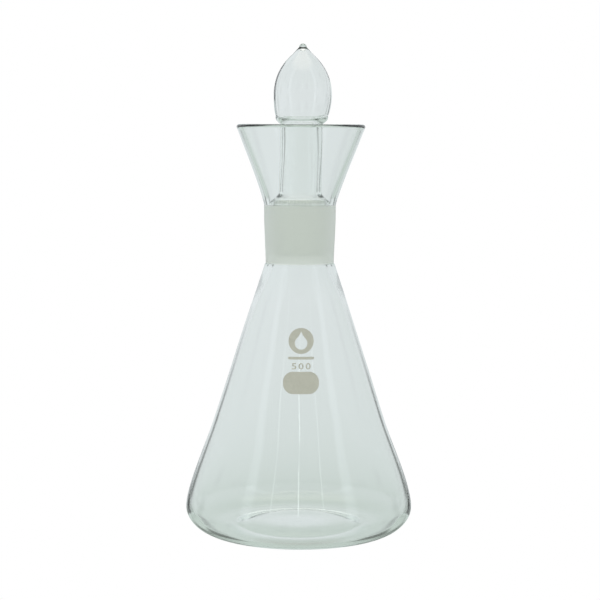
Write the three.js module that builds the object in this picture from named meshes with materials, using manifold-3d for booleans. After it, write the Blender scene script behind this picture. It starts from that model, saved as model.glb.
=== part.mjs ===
// A 500 ml iodine flask: a conical flask with a ground socket in its neck, a flared
// collar above the socket that holds a water seal, and a hollow ground-glass stopper
// with a flame-shaped bulb. Millimetres, +Z up, origin on the axis, at the height of
// the ring that the flask stands on. The printing faces -Y.

import * as THREE from 'three';
import { mergeVertices } from 'three/addons/utils/BufferGeometryUtils.js';
import Module from 'manifold-3d';

const wasm = await Module();
wasm.setup();

// ---------------------------------------------------------------- driving dimensions

const FACETS = 40; // around the axis of every turned piece
const FACET_TURN = Math.PI / FACETS; // half a facet, so that a facet's middle faces -Y

// flask body
const BODY_RADIUS = 54;
const BODY_WIDEST_Z = 11.8;
const CONTACT_OUTER_RADIUS = 39.7;
const CONTACT_INNER_RADIUS = 30;
const PUSH_UP_HEIGHT = 3.4; // the middle of the base stands this far off the table
const BODY_WALL = 1.7;
const HEEL_WALL = 2.3;
const FLOOR_WALL = 2.4;
const HEEL_SPREAD = 0.51; // share of the heel's width over which its curve stays low
const HEEL_RISE = 0.53; // share of the heel's height over which its curve is nearly upright
const SHOULDER_REACH = 12; // stretch of cone and of wall that the shoulder's curve leads into
const CONE_SLOPE = 0.325; // radius lost for each millimetre of height
const CONE_FOOT_Z = 53.4;
const CONE_TOP_Z = 128.2;
const CONE_TOP_RADIUS = 16.7;
const CONE_INNER_TOP_Z = CONE_TOP_Z - 20; // the wall thickens from here up to the socket
const NECK_REACH = 9; // stretch over which that thickening starts

// neck socket and collar
const SOCKET_FOOT_Z = 129.6;
const SOCKET_FOOT_RADIUS = 16.15;
const SOCKET_FULL_Z = 149;
const SOCKET_RADIUS = 17;
const SOCKET_TOP_Z = 156;
const SOCKET_SWELL = 0.05; // the socket is this much slimmer below its full height
const NECK_FILLET = 0.6; // height of the fillet where the cone meets the socket
const COLLAR_WALL = 2.4;
const COLLAR_RIM_RADIUS = 30.35;
const COLLAR_RIM_Z = 194.4;
const COLLAR_SLOPE_FOOT = 0.32;
const COLLAR_SLOPE_RIM = 0.395;
const COLLAR_BEND_RISE = 3.7; // the collar's foot bends outwards over this height
const COLLAR_BEND_SPREAD = 0.86;
const COLLAR_REACH = 11; // stretch over which each end of the collar keeps its own slope

// ground joint: the plug tapers by one part in ten on its diameter
const PLUG_TOP_Z = 157;
const PLUG_FOOT_Z = 133;
const PLUG_TOP_RADIUS = 14.5;
const JOINT_TAPER = 0.05;
const JOINT_GAP = 0.08;
const PLUG_WALL = 1.6;
const PLUG_FOOT_ROUND = 1.5;

// stopper above the joint
const STEM_RADIUS = 10;
const STEM_WALL = 1.5;
const STEM_SHOULDER_TOP_Z = 163;
const STEM_SHOULDER_REACH = 3;
const STEM_TOP_Z = 194;
const SEAL_RADIUS = 12.4;
const SEAL_TOP_Z = 198.6;
const SEAL_SHOULDER = 2.3; // height over which the stem widens into the seal's band
const SEAL_FLARE = 0.15;
const SEAL_INNER_REACH = 2.2; // how long the hollow stays upright above and below its own step
const BULB_RADIUS = 13.77;
const BULB_WIDEST_Z = 208;
const BULB_WALL = 1.3;
const BULB_FLARE = 0.7; // the wall leans out this much at the bulb's foot, over BULB_FLARE_RISE
const BULB_FLARE_RISE = 2.4;
const BULB_REACH_DOWN = 3.4; // how long the wall stays upright below its widest point
const BULB_REACH_UP = 9.2; // and above it
const TIP_NECK_RADIUS = 4.9;
const TIP_NECK_Z = 227.1;
const TIP_SHOULDER_SPREAD = 4.7; // slope of the shoulder below the tip, as a spread and a drop
const TIP_SHOULDER_DROP = 4.1;
const TIP_RADIUS = 1.8;
const TIP_SOLID = 3.2; // depth of solid glass under the tip
const TIP_Z = 232.2;

// enamel printing on the cone
const PRINT_GAP = 0.05;
const PRINT_THICKNESS = 0.15;
const PRINT_X = 0.8;
const BADGE_RADIUS = 5.8;
const BADGE_Z = 94.9;
const BAR_WIDTH = 12;
const BAR_HEIGHT = 1.2;
const BAR_Z = 87.2;
const DIGIT_WIDTH = 2.3;
const DIGIT_HEIGHT = 2.8;
const DIGIT_STROKE = 0.42;
const DIGIT_PITCH = 3.3;
const DIGIT_Z = 83.6;
const PATCH_WIDTH = 16.6;
const PATCH_HEIGHT = 9.9;
const PATCH_ROUND = 4.6;
const PATCH_Z = 76.2;

// ---------------------------------------------------------------- materials

function clearGlass() {
  return new THREE.MeshStandardMaterial({
    color: 0xd8e2dc,
    roughness: 0.05,
    metalness: 0,
    transparent: true,
    opacity: 0.4,
  });
}

function groundGlass() {
  return new THREE.MeshStandardMaterial({ color: 0xc8cdc8, roughness: 0.85, metalness: 0 });
}

function enamel() {
  return new THREE.MeshStandardMaterial({ color: 0xb4b6a7, roughness: 0.55, metalness: 0 });
}

// ---------------------------------------------------------------- outline helpers

function point(radius, z) {
  return new THREE.Vector2(radius, z);
}

// A smooth stretch of outline, without its first point, which the stretch before it ends on.
function curve(start, startHandle, endHandle, end, steps) {
  const bezier = new THREE.CubicBezierCurve(start, startHandle, endHandle, end);
  return bezier.getPoints(steps).slice(1);
}

function arc(centreRadius, centreZ, radius, startAngle, endAngle, steps) {
  const points = [];
  for (let step = 0; step <= steps; step += 1) {
    const angle = startAngle + ((endAngle - startAngle) * step) / steps;
    points.push(point(centreRadius + radius * Math.cos(angle), centreZ + radius * Math.sin(angle)));
  }
  return points;
}

// Turns an outline of (radius, height) points round the Z axis. The outline runs
// anticlockwise: up the outside and down the inside.
function turned(outline) {
  const geometry = new THREE.LatheGeometry(outline, FACETS, FACET_TURN);
  geometry.rotateX(Math.PI / 2);
  return geometry;
}

// A turned piece that goes all the way round a hollow, so its outline closes on itself.
function turnedRing(outline) {
  return turned([...outline, outline[0].clone()]);
}

function coneRadius(z) {
  return CONE_TOP_RADIUS + CONE_SLOPE * (CONE_TOP_Z - z);
}

function plugRadius(z) {
  return PLUG_TOP_RADIUS - JOINT_TAPER * (PLUG_TOP_Z - z);
}

function boreRadius(z) {
  return plugRadius(z) + JOINT_GAP;
}

// ---------------------------------------------------------------- flask

function bodyOutside() {
  const widest = point(BODY_RADIUS, BODY_WIDEST_Z);
  const contact = point(CONTACT_OUTER_RADIUS, 0);
  const coneFoot = point(coneRadius(CONE_FOOT_Z), CONE_FOOT_Z);
  const heelWidth = BODY_RADIUS - CONTACT_OUTER_RADIUS;
  const shoulderFoot = CONE_FOOT_Z - SHOULDER_REACH;
  return [
    contact,
    ...curve(
      contact,
      point(CONTACT_OUTER_RADIUS + HEEL_SPREAD * heelWidth, 0),
      point(BODY_RADIUS, (1 - HEEL_RISE) * BODY_WIDEST_Z),
      widest,
      7,
    ),
    ...curve(
      widest,
      point(BODY_RADIUS, BODY_WIDEST_Z + 0.8 * SHOULDER_REACH),
      point(coneRadius(shoulderFoot), shoulderFoot),
      coneFoot,
      7,
    ),
    point(CONE_TOP_RADIUS, CONE_TOP_Z),
    point(SOCKET_FOOT_RADIUS + 0.2 * NECK_FILLET, CONE_TOP_Z + NECK_FILLET),
    point(SOCKET_FOOT_RADIUS, SOCKET_FOOT_Z),
  ];
}

function bodyInside() {
  const wallAcross = BODY_WALL * Math.hypot(1, CONE_SLOPE);
  const coneBend = point(coneRadius(CONE_INNER_TOP_Z) - wallAcross, CONE_INNER_TOP_Z);
  const boreFoot = point(boreRadius(SOCKET_FOOT_Z), SOCKET_FOOT_Z);
  const coneFoot = point(coneRadius(CONE_FOOT_Z) - wallAcross, CONE_FOOT_Z);
  const widest = point(BODY_RADIUS - HEEL_WALL, BODY_WIDEST_Z + 1);
  const floorEdge = point(CONTACT_OUTER_RADIUS, FLOOR_WALL);
  const floorMiddle = point(0, PUSH_UP_HEIGHT + FLOOR_WALL);
  const heelWidth = widest.x - CONTACT_OUTER_RADIUS;
  return [
    boreFoot,
    ...curve(
      boreFoot,
      point(boreFoot.x + 0.3, SOCKET_FOOT_Z - 4),
      point(coneBend.x - CONE_SLOPE * NECK_REACH, coneBend.y + NECK_REACH),
      coneBend,
      4,
    ),
    coneFoot,
    ...curve(
      coneFoot,
      point(coneFoot.x + CONE_SLOPE * SHOULDER_REACH, CONE_FOOT_Z - SHOULDER_REACH),
      point(widest.x, widest.y + 0.8 * SHOULDER_REACH),
      widest,
      6,
    ),
    ...curve(
      widest,
      point(widest.x, (1 - HEEL_RISE) * widest.y),
      point(CONTACT_OUTER_RADIUS + HEEL_SPREAD * heelWidth, FLOOR_WALL),
      floorEdge,
      6,
    ),
    ...curve(
      floorEdge,
      point(0.85 * CONTACT_INNER_RADIUS, FLOOR_WALL),
      point(CONTACT_INNER_RADIUS / 2, floorMiddle.y),
      floorMiddle,
      5,
    ),
  ];
}

function pushUp() {
  const middle = point(0, PUSH_UP_HEIGHT);
  const edge = point(CONTACT_INNER_RADIUS, 0);
  return [
    middle,
    ...curve(
      middle,
      point(CONTACT_INNER_RADIUS / 2, PUSH_UP_HEIGHT),
      point(0.85 * CONTACT_INNER_RADIUS, 0.45 * PUSH_UP_HEIGHT),
      edge,
      6,
    ),
  ];
}

function flaskBody() {
  return turned([...pushUp(), ...bodyOutside(), ...bodyInside()]);
}

function neckSocket() {
  return turnedRing([
    point(SOCKET_FOOT_RADIUS, SOCKET_FOOT_Z),
    point(SOCKET_RADIUS - SOCKET_SWELL, SOCKET_FULL_Z),
    point(SOCKET_RADIUS, SOCKET_TOP_Z),
    point(boreRadius(SOCKET_TOP_Z), SOCKET_TOP_Z),
    point(boreRadius(SOCKET_FOOT_Z), SOCKET_FOOT_Z),
  ]);
}

function funnelCollar() {
  const lipRadius = COLLAR_WALL / 2;
  const lean = Math.atan(COLLAR_SLOPE_RIM);
  const lip = arc(
    COLLAR_RIM_RADIUS - lipRadius,
    COLLAR_RIM_Z - lipRadius,
    lipRadius,
    -lean,
    Math.PI - lean,
    8,
  );
  const outerEdge = lip[0];
  const innerEdge = lip[lip.length - 1];
  const foot = point(SOCKET_RADIUS, SOCKET_TOP_Z);
  const outerBend = point(foot.x + COLLAR_BEND_SPREAD, foot.y + COLLAR_BEND_RISE);
  const innerFoot = point(boreRadius(SOCKET_TOP_Z), SOCKET_TOP_Z);
  const innerBend = point(innerFoot.x + COLLAR_BEND_SPREAD, innerFoot.y + COLLAR_BEND_RISE + 0.6);
  const bend = (start) => [
    point(start.x, start.y + 0.25 * COLLAR_BEND_RISE),
    point(start.x + 0.3 * COLLAR_BEND_SPREAD, start.y + 0.5 * COLLAR_BEND_RISE),
  ];
  const aboveBend = (start) => {
    return point(start.x + COLLAR_SLOPE_FOOT * COLLAR_REACH, start.y + COLLAR_REACH);
  };
  const belowLip = (end) => {
    return point(end.x - COLLAR_SLOPE_RIM * COLLAR_REACH, end.y - COLLAR_REACH);
  };
  return turnedRing([
    foot,
    ...curve(foot, ...bend(foot), outerBend, 3),
    ...curve(outerBend, aboveBend(outerBend), belowLip(outerEdge), outerEdge, 4),
    ...lip.slice(1),
    ...curve(innerEdge, belowLip(innerEdge), aboveBend(innerBend), innerBend, 4),
    ...curve(innerBend, ...bend(innerFoot).reverse(), innerFoot, 3),
  ]);
}

// ---------------------------------------------------------------- stopper

function stopperPlug() {
  const footRadius = plugRadius(PLUG_FOOT_Z);
  const innerRound = PLUG_FOOT_ROUND - 0.4;
  const innerFootRadius = footRadius - PLUG_WALL;
  const innerFootZ = PLUG_FOOT_Z + PLUG_WALL;
  return turned([
    point(0, PLUG_FOOT_Z),
    ...arc(footRadius - PLUG_FOOT_ROUND, PLUG_FOOT_Z + PLUG_FOOT_ROUND, PLUG_FOOT_ROUND, -Math.PI / 2, 0, 4),
    point(PLUG_TOP_RADIUS, PLUG_TOP_Z),
    point(PLUG_TOP_RADIUS - PLUG_WALL, PLUG_TOP_Z),
    ...arc(innerFootRadius - innerRound, innerFootZ + innerRound, innerRound, 0, -Math.PI / 2, 3),
    point(0, innerFootZ),
  ]);
}

function stopperStem() {
  const foot = point(PLUG_TOP_RADIUS, PLUG_TOP_Z);
  const shoulder = point(STEM_RADIUS, STEM_SHOULDER_TOP_Z);
  const innerFoot = point(PLUG_TOP_RADIUS - PLUG_WALL, PLUG_TOP_Z);
  const innerShoulder = point(STEM_RADIUS - STEM_WALL, STEM_SHOULDER_TOP_Z);
  const above = (start) => point(start.x, start.y + STEM_SHOULDER_REACH);
  const below = (end) => point(end.x, end.y - STEM_SHOULDER_REACH);
  return turnedRing([
    foot,
    ...curve(foot, above(foot), below(shoulder), shoulder, 6),
    point(STEM_RADIUS, STEM_TOP_Z),
    point(STEM_RADIUS - STEM_WALL, STEM_TOP_Z),
    innerShoulder,
    ...curve(innerShoulder, below(innerShoulder), above(innerFoot), innerFoot, 6),
  ]);
}

// The band where the bulb is fused on. The stem flares out to the bulb's width, and the
// hollow runs on from the stem into the bulb.
function bulbSeal() {
  const stemEnd = point(STEM_RADIUS, STEM_TOP_Z);
  const boreEnd = point(STEM_RADIUS - STEM_WALL, STEM_TOP_Z);
  const bandFoot = point(SEAL_RADIUS, STEM_TOP_Z + SEAL_SHOULDER);
  const bandTop = point(SEAL_RADIUS + SEAL_FLARE, SEAL_TOP_Z);
  const innerTop = point(bandTop.x - BULB_WALL, SEAL_TOP_Z);
  const stepZ = STEM_TOP_Z + 1;
  return turnedRing([
    stemEnd,
    ...curve(stemEnd, point(STEM_RADIUS, stepZ), point(SEAL_RADIUS, stepZ), bandFoot, 5),
    bandTop,
    innerTop,
    ...curve(
      innerTop,
      point(innerTop.x, innerTop.y - SEAL_INNER_REACH),
      point(boreEnd.x, boreEnd.y + SEAL_INNER_REACH),
      boreEnd,
      5,
    ),
  ]);
}

function bulbHead() {
  const foot = point(SEAL_RADIUS + SEAL_FLARE, SEAL_TOP_Z);
  const widest = point(BULB_RADIUS, BULB_WIDEST_Z);
  const tipNeck = point(TIP_NECK_RADIUS, TIP_NECK_Z);
  const tipCentreZ = TIP_Z - TIP_RADIUS;
  const tipFoot = point(TIP_RADIUS, tipCentreZ);
  const innerFoot = point(foot.x - BULB_WALL, SEAL_TOP_Z);
  const innerWidest = point(BULB_RADIUS - BULB_WALL, BULB_WIDEST_Z);
  const innerTop = point(0, TIP_Z - TIP_SOLID);
  const innerNeck = point(tipNeck.x - 0.9, tipNeck.y - 0.9);
  const flare = (start) => point(start.x + BULB_FLARE, start.y + BULB_FLARE_RISE);
  const below = (end) => point(end.x, end.y - BULB_REACH_DOWN);
  const above = (start) => point(start.x, start.y + BULB_REACH_UP);
  const shoulder = (end) => point(end.x + TIP_SHOULDER_SPREAD, end.y - TIP_SHOULDER_DROP);
  const domeHandle = point(1.3, innerTop.y);
  const innerNeckHandle = point(innerNeck.x - 1.6, innerNeck.y + 1.7);
  const neckHandle = point(tipNeck.x - 1, tipNeck.y + 1);
  const tipHandle = point(1.5 * TIP_RADIUS, tipCentreZ - 0.8);
  return turned([
    innerTop,
    ...curve(innerTop, domeHandle, innerNeckHandle, innerNeck, 3),
    ...curve(innerNeck, shoulder(innerNeck), above(innerWidest), innerWidest, 7),
    ...curve(innerWidest, below(innerWidest), flare(innerFoot), innerFoot, 3),
    foot,
    ...curve(foot, flare(foot), below(widest), widest, 4),
    ...curve(widest, above(widest), shoulder(tipNeck), tipNeck, 8),
    ...curve(tipNeck, neckHandle, tipHandle, tipFoot, 3),
    ...arc(0, tipCentreZ, TIP_RADIUS, 0, Math.PI / 2, 4).slice(1, -1),
    point(0, TIP_Z),
  ]);
}

// ---------------------------------------------------------------- printing

function solidFrom(geometry) {
  const bare = geometry.index ? geometry.clone() : geometry;
  bare.deleteAttribute('normal');
  bare.deleteAttribute('uv');
  const merged = mergeVertices(bare, 1e-4);
  return new wasm.Manifold(
    new wasm.Mesh({
      numProp: 3,
      vertProperties: new Float32Array(merged.attributes.position.array),
      triVerts: new Uint32Array(merged.index.array),
    }),
  );
}

function geometryFrom(solid) {
  const mesh = solid.getMesh();
  const geometry = new THREE.BufferGeometry();
  geometry.setAttribute('position', new THREE.BufferAttribute(mesh.vertProperties, 3));
  geometry.setIndex(new THREE.BufferAttribute(mesh.triVerts, 1));
  geometry.computeVertexNormals();
  return geometry;
}

// A thin coat of enamel that follows the cone, as a band all the way round.
function enamelBand(lowZ, highZ) {
  const inner = PRINT_GAP;
  const outer = PRINT_GAP + PRINT_THICKNESS;
  return turnedRing([
    point(coneRadius(lowZ) + inner, lowZ),
    point(coneRadius(lowZ) + outer, lowZ),
    point(coneRadius(highZ) + outer, highZ),
    point(coneRadius(highZ) + inner, highZ),
  ]);
}

// Runs a flat outline, x across and y up, through the front of the flask.
function stencil(shape, centreX, centreZ) {
  const geometry = new THREE.ExtrudeGeometry(shape, {
    depth: BODY_RADIUS,
    bevelEnabled: false,
    curveSegments: 10,
  });
  geometry.rotateX(Math.PI / 2);
  geometry.translate(centreX, 0, centreZ);
  return geometry;
}

function printed(shapes, centreX, centreZ, height) {
  const margin = 1;
  const band = solidFrom(enamelBand(centreZ - height / 2 - margin, centreZ + height / 2 + margin));
  let cutter = solidFrom(stencil(shapes[0], centreX, centreZ));
  for (const shape of shapes.slice(1)) {
    cutter = cutter.add(solidFrom(stencil(shape, centreX, centreZ)));
  }
  return geometryFrom(band.intersect(cutter));
}

function roundedBar(width, height, round) {
  const shape = new THREE.Shape();
  const halfWidth = width / 2;
  const halfHeight = height / 2;
  shape.moveTo(-halfWidth + round, -halfHeight);
  shape.lineTo(halfWidth - round, -halfHeight);
  shape.absarc(halfWidth - round, -halfHeight + round, round, -Math.PI / 2, 0);
  shape.absarc(halfWidth - round, halfHeight - round, round, 0, Math.PI / 2);
  shape.absarc(-halfWidth + round, halfHeight - round, round, Math.PI / 2, Math.PI);
  shape.absarc(-halfWidth + round, -halfHeight + round, round, Math.PI, Math.PI * 1.5);
  return shape;
}

function droplet(radius) {
  const path = new THREE.Path();
  const centreY = -radius * 0.35;
  path.moveTo(0, radius * 1.45);
  path.quadraticCurveTo(-radius * 0.2, radius * 0.75, -radius * 0.86, centreY + radius * 0.5);
  path.absarc(0, centreY, radius, Math.PI * 5 / 6, Math.PI / 6 + Math.PI * 2, false);
  path.quadraticCurveTo(radius * 0.2, radius * 0.75, 0, radius * 1.45);
  return path;
}

function badgeDisc() {
  const disc = new THREE.Shape();
  disc.absarc(0, 0, BADGE_RADIUS, 0, Math.PI * 2);
  disc.holes.push(droplet(BADGE_RADIUS * 0.5));
  return printed([disc], PRINT_X, BADGE_Z, 2 * BADGE_RADIUS);
}

function nameBar() {
  const bar = roundedBar(BAR_WIDTH, BAR_HEIGHT, BAR_HEIGHT * 0.4);
  return printed([bar], PRINT_X, BAR_Z, BAR_HEIGHT);
}

function writingPatch() {
  const patch = roundedBar(PATCH_WIDTH, PATCH_HEIGHT, PATCH_ROUND);
  return printed([patch], PRINT_X, PATCH_Z, PATCH_HEIGHT);
}

function rectangle(left, right, low, high) {
  const shape = new THREE.Shape();
  shape.moveTo(left, low);
  shape.lineTo(right, low);
  shape.lineTo(right, high);
  shape.lineTo(left, high);
  return shape;
}

function digitZero(centreX) {
  const ring = new THREE.Shape();
  ring.absellipse(0, 0, DIGIT_WIDTH / 2, DIGIT_HEIGHT / 2, 0, Math.PI * 2);
  const hole = new THREE.Path();
  const holeHalfWidth = DIGIT_WIDTH / 2 - DIGIT_STROKE;
  const holeHalfHeight = DIGIT_HEIGHT / 2 - DIGIT_STROKE;
  hole.absellipse(0, 0, holeHalfWidth, holeHalfHeight, 0, Math.PI * 2);
  ring.holes.push(hole);
  return printed([ring], centreX, DIGIT_Z, DIGIT_HEIGHT);
}

// The bowl is an open ring, and two straight strokes make the back and the flag.
function digitFive(centreX) {
  const halfWidth = DIGIT_WIDTH / 2;
  const halfHeight = DIGIT_HEIGHT / 2;
  const bowlHalfHeight = DIGIT_HEIGHT * 0.31;
  const bowlY = -halfHeight + bowlHalfHeight;
  const start = -0.8 * Math.PI;
  const end = 0.72 * Math.PI;
  const innerHalfHeight = bowlHalfHeight - DIGIT_STROKE;
  const bowl = new THREE.Shape();
  bowl.absellipse(0, bowlY, halfWidth, bowlHalfHeight, start, end);
  bowl.absellipse(0, bowlY, halfWidth - DIGIT_STROKE, innerHalfHeight, end, start, true);
  const side = halfWidth - 0.15;
  const back = rectangle(-side, DIGIT_STROKE - side, bowlY + 0.3 * bowlHalfHeight, halfHeight);
  const flag = rectangle(-side, side, halfHeight - DIGIT_STROKE, halfHeight);
  return printed([bowl, back, flag], centreX, DIGIT_Z, DIGIT_HEIGHT);
}

// ---------------------------------------------------------------- assembly

const flask = new THREE.Group();

function addPart(group, name, geometry, material) {
  const mesh = new THREE.Mesh(geometry, material);
  mesh.name = name;
  group.add(mesh);
}

addPart(flask, 'flask_body', flaskBody(), clearGlass());
addPart(flask, 'neck_socket', neckSocket(), groundGlass());
addPart(flask, 'funnel_collar', funnelCollar(), clearGlass());
addPart(flask, 'badge_disc', badgeDisc(), enamel());
addPart(flask, 'name_bar', nameBar(), enamel());
addPart(flask, 'digit_5', digitFive(PRINT_X - DIGIT_PITCH), enamel());
addPart(flask, 'digit_0_a', digitZero(PRINT_X), enamel());
addPart(flask, 'digit_0_b', digitZero(PRINT_X + DIGIT_PITCH), enamel());
addPart(flask, 'writing_patch', writingPatch(), enamel());

const stopper = new THREE.Group();
addPart(stopper, 'stopper_plug', stopperPlug(), groundGlass());
addPart(stopper, 'stopper_stem', stopperStem(), clearGlass());
addPart(stopper, 'bulb_seal', bulbSeal(), clearGlass());
addPart(stopper, 'bulb_head', bulbHead(), clearGlass());

const iodineFlask = new THREE.Group();
iodineFlask.add(flask, stopper);

export default iodineFlask;
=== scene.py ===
"""Looks of the 500 ml iodine flask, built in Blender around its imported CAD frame.

The flask and the stopper are each one fused piece of glass, turned from an outline that
follows the CAD sections, with the faint waves of blown glass. The enamel printing is
wrapped on the cone. Everything is in metres, +Z up, and the printing faces -Y.
"""

import math

import bmesh
import bpy
from mathutils import Matrix, Vector


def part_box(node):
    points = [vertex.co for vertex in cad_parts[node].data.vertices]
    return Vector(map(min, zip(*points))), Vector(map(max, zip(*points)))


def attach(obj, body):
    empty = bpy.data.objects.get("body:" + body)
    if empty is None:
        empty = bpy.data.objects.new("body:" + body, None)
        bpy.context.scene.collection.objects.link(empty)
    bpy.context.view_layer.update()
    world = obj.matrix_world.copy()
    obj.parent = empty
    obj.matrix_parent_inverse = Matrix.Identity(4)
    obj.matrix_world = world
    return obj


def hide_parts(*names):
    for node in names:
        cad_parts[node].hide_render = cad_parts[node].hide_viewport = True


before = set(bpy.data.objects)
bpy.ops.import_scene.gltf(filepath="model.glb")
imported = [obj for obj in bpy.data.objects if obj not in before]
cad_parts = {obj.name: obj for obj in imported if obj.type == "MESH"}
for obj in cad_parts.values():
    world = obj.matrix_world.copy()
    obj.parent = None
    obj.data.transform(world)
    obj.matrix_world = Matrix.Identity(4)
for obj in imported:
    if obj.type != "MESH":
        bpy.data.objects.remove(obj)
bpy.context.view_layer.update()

MM = 0.001
TURN = 2 * math.pi

# ---------------------------------------------------------------- sizes from the frame

CAD_FACETS = 40
FULL_RADIUS = 1 / math.cos(math.pi / CAD_FACETS)  # a facetted ring's width to its true radius

body_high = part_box("flask_body")[1]
socket_low, socket_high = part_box("neck_socket")
collar_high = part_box("funnel_collar")[1]
plug_low, plug_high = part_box("stopper_plug")
stem_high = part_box("stopper_stem")[1]
seal_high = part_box("bulb_seal")[1]
head_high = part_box("bulb_head")[1]

BODY_RADIUS = body_high.x * FULL_RADIUS
SOCKET_RADIUS = socket_high.x * FULL_RADIUS
RIM_RADIUS = collar_high.x * FULL_RADIUS
PLUG_RADIUS = plug_high.x * FULL_RADIUS
SEAL_RADIUS = seal_high.x * FULL_RADIUS
BULB_RADIUS = head_high.x * FULL_RADIUS

SOCKET_FOOT = socket_low.z
SOCKET_TOP = socket_high.z
RIM_TOP = collar_high.z
PLUG_FOOT = plug_low.z
PLUG_TOP = plug_high.z
STEM_TOP = stem_high.z
SEAL_TOP = seal_high.z
TIP = head_high.z

# flask: sections inside those sizes
WIDEST_Z = 11.8 * MM
CONTACT_OUTER = 39.7 * MM
CONTACT_INNER = 30.0 * MM
PUSH_UP = 3.4 * MM
BODY_WALL = 1.7 * MM
HEEL_WALL = 2.3 * MM
INNER_WIDEST_Z = WIDEST_Z + 1 * MM
FLOOR_WALL = 2.4 * MM
HEEL_SPREAD = 0.51  # share of the heel's width over which its curve stays low
HEEL_BEND = 0.47  # share of the heel's height below which its curve turns in
INNER_HEEL_BEND = 0.52
PUSH_UP_REACH = 5 * MM  # the pushed-up base keeps rising steeply this far in from its edge
PUSH_UP_RISE = 0.45 * PUSH_UP
FLOOR_REACH = 6 * MM  # the same for the floor inside
FLOOR_RISE = 0.4 * MM
SHOULDER_REACH = 12 * MM  # stretch of cone and of wall that the shoulder's curve leads into
WALL_REACH = 0.8 * SHOULDER_REACH
CONE_SLOPE = 0.325
CONE_FOOT = 53.4 * MM
CONE_TOP = SOCKET_FOOT - 1.4 * MM
CONE_TOP_RADIUS = 16.7 * MM
CONE_INNER_TOP = CONE_TOP - 20 * MM  # the wall thickens from here up to the socket
NECK_REACH = 9 * MM  # stretch over which that thickening starts
NECK_FILLET = 0.5 * MM  # height of the fillet where the cone meets the socket
NECK_EASE = 0.3 * MM  # the fillet starts this far below the top of the cone
GROUND_RUN_OUT = 0.9 * MM  # the bore's own taper goes on this far below the socket
GROUND_EASE = 0.05 * MM  # and widens by this much on the way
SOCKET_FOOT_RADIUS = 16.15 * MM
SOCKET_FULL = SOCKET_TOP - 7 * MM
SOCKET_SWELL = 0.05 * MM  # the socket is this much slimmer below its full height
COLLAR_WALL = 2.4 * MM
COLLAR_SLOPE_FOOT = 0.32
COLLAR_SLOPE_RIM = 0.395
COLLAR_REACH = 11 * MM  # stretch over which each end of the collar keeps its own slope
COLLAR_BEND_RISE = 3.7 * MM  # the collar's foot bends outwards over this height
COLLAR_BEND_SPREAD = 0.86 * MM
COLLAR_INNER_BEND_RISE = 4.3 * MM
COLLAR_INNER_BEND_SPREAD = 0.75 * MM

# ground joint
JOINT_TAPER = 0.05
JOINT_GAP = 0.08 * MM
PLUG_WALL = 1.6 * MM
PLUG_ROUND = 1.5 * MM
PLUG_INNER_ROUND = 1.1 * MM

# stopper above the joint
STEM_RADIUS = 10.0 * MM
STEM_WALL = 1.5 * MM
SHOULDER_TOP = PLUG_TOP + 6.0 * MM
STEM_SHOULDER_REACH = 3 * MM
SEAL_FLARE = 0.15 * MM  # the band is this much slimmer at its foot
SEAL_BAND_FOOT = STEM_TOP + 3.4 * MM
SEAL_BAND_REACH = 1.7 * MM  # how far below its foot the band's own upright line leads in
SEAL_OUTER_REACH = 1 * MM  # how far the stem stays upright before it widens into the band
SEAL_INNER_REACH = 2.2 * MM  # how long the hollow stays upright above and below its own step
BULB_WALL = 1.3 * MM
BULB_WIDEST = SEAL_TOP + 9.4 * MM
BULB_FLARE = 0.7 * MM  # the wall leans out this much at the bulb's foot, over BULB_FLARE_RISE
BULB_FLARE_RISE = 2.4 * MM
BULB_REACH_DOWN = 3.4 * MM  # how long the wall stays upright below its widest point
BULB_REACH_UP = 9.2 * MM  # and above it
TIP_NECK = TIP - 5.1 * MM
TIP_NECK_RADIUS = 4.9 * MM
TIP_SHOULDER_SPREAD = 4.7 * MM  # slope of the shoulder below the tip, as a spread and a drop
TIP_SHOULDER_DROP = 4.1 * MM
TIP_ROUND = 1.8 * MM
TIP_SOLID = 3.2 * MM  # depth of solid glass under the tip
TIP_NECK_WALL = 0.9 * MM

# handles of the short curves, as (spread, rise) from the end that each belongs to
NECK_HANDLE = (-0.05 * MM, 0.2 * MM)
COLLAR_FOOT_HANDLE = (0, 0.9 * MM)
COLLAR_BEND_HANDLE = (0.26 * MM, 1.8 * MM)
COLLAR_INNER_FOOT_HANDLE = (0, 1 * MM)
COLLAR_INNER_BEND_HANDLE = (0.22 * MM, 2.2 * MM)
RUN_OUT_HANDLE = (0.2 * MM, -3.1 * MM)
TIP_NECK_HANDLE = (-1 * MM, 1 * MM)
TIP_HANDLE = (0.9 * MM, -0.8 * MM)
DOME_HANDLE = (1.3 * MM, 0)
DOME_NECK_HANDLE = (-1.6 * MM, 1.7 * MM)

SEGMENTS = 240  # around the axis of the turned glass
STEP = 1.5 * MM  # length of outline between rings on a straight stretch
FINE_STEP = 0.15 * MM  # the same where the mesh has to hold the narrow groove of the seal
ON_AXIS = 1e-9  # a radius below this counts as a point on the axis


def cone_radius(z):
    return CONE_TOP_RADIUS + CONE_SLOPE * (CONE_TOP - z)


def plug_radius(z):
    return PLUG_RADIUS - JOINT_TAPER * (PLUG_TOP - z)


def bore_radius(z):
    return plug_radius(z) + JOINT_GAP


def moved(point, by):
    return (point[0] + by[0], point[1] + by[1])


# ---------------------------------------------------------------- turned glass


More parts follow.
